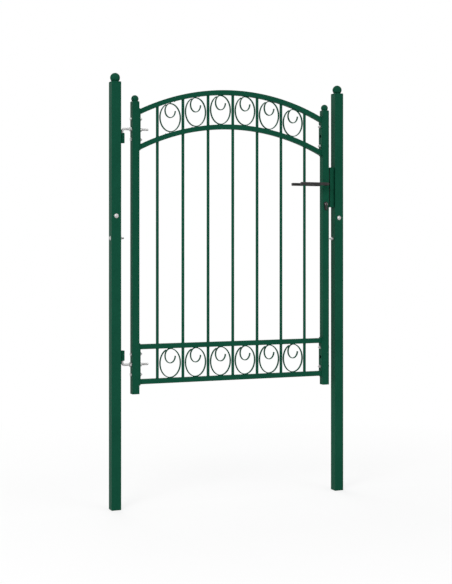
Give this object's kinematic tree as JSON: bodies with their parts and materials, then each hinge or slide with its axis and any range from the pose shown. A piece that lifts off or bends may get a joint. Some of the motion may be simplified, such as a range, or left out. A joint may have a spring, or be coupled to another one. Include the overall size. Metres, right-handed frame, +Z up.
{
  "type": "fence gate",
  "caption": "Green metal garden gate: arched leaf of square tube with upright bars and rows of oval scrolls, hung on bent hinge bolts between two ball-topped posts, with a lever lock.",
  "frame": {"origin": "centre of the hinge post's foot face", "axes": "+Z up along the posts, +X from the hinge post to the latch post, -Y towards the front of the gate"},
  "size_m": [1.059, 0.1, 1.761],
  "materials": {
    "green_paint": "satin moss-green powder coat",
    "zinc": "bright zinc plating",
    "lock_steel": "brushed stainless steel",
    "lock_black": "black lacquered metal",
    "lever_black": "black moulded nylon, satin"
  },
  "bodies": {
    "posts": {"hinge_post": "green_paint", "latch_post": "green_paint", "post_caps": "green_paint", "hinge_sleeves": "green_paint", "post_bolts": "zinc", "post_nuts": "zinc", "keep": "green_paint"},
    "leaf": {"hinge_stile": "green_paint", "latch_stile": "green_paint", "stile_caps": "green_paint", "upper_arch": "green_paint", "lower_arch": "green_paint", "middle_rail": "green_paint", "bottom_rail": "green_paint", "bar_1": "green_paint", "bar_2": "green_paint", "bar_3": "green_paint", "bar_4": "green_paint", "bar_5": "green_paint", "bar_6": "green_paint", "bar_7": "green_paint", "upper_scroll_1": "green_paint", "upper_scroll_2": "green_paint", "upper_scroll_3": "green_paint", "upper_scroll_4": "green_paint", "upper_scroll_5": "green_paint", "upper_scroll_6": "green_paint", "lower_scroll_1": "green_paint", "lower_scroll_2": "green_paint", "lower_scroll_3": "green_paint", "lower_scroll_4": "green_paint", "lower_scroll_5": "green_paint", "lower_scroll_6": "green_paint", "hinge_end_plates": "green_paint", "latch_end_plates": "green_paint", "plate_bolts": "zinc", "plate_nuts": "zinc", "upper_hinge_bolt": "zinc", "lower_hinge_bolt": "zinc", "hinge_nuts": "zinc", "lock_faceplate": "lock_steel", "latch_bolt": "lock_steel", "lock_cylinder": "lock_black"},
    "handle": {"front_lever": "lever_black", "rear_lever": "lever_black", "spindle": "lock_steel"}
  },
  "joints": [
    {"name": "gate_swing", "type": "hinge", "parent": "posts", "child": "leaf", "pos_m": [0.03, 0, 1.05921], "axis": [0, 0, 1], "range_deg": [-100, 100]},
    {"name": "handle_turn", "type": "hinge", "parent": "leaf", "child": "handle", "pos_m": [0.947, 0, 1.32903], "axis": [0, -1, 0], "range_deg": [0, 45], "stiffness_Nm_per_rad": 1.5, "springref_deg": -28.65}
  ]
}
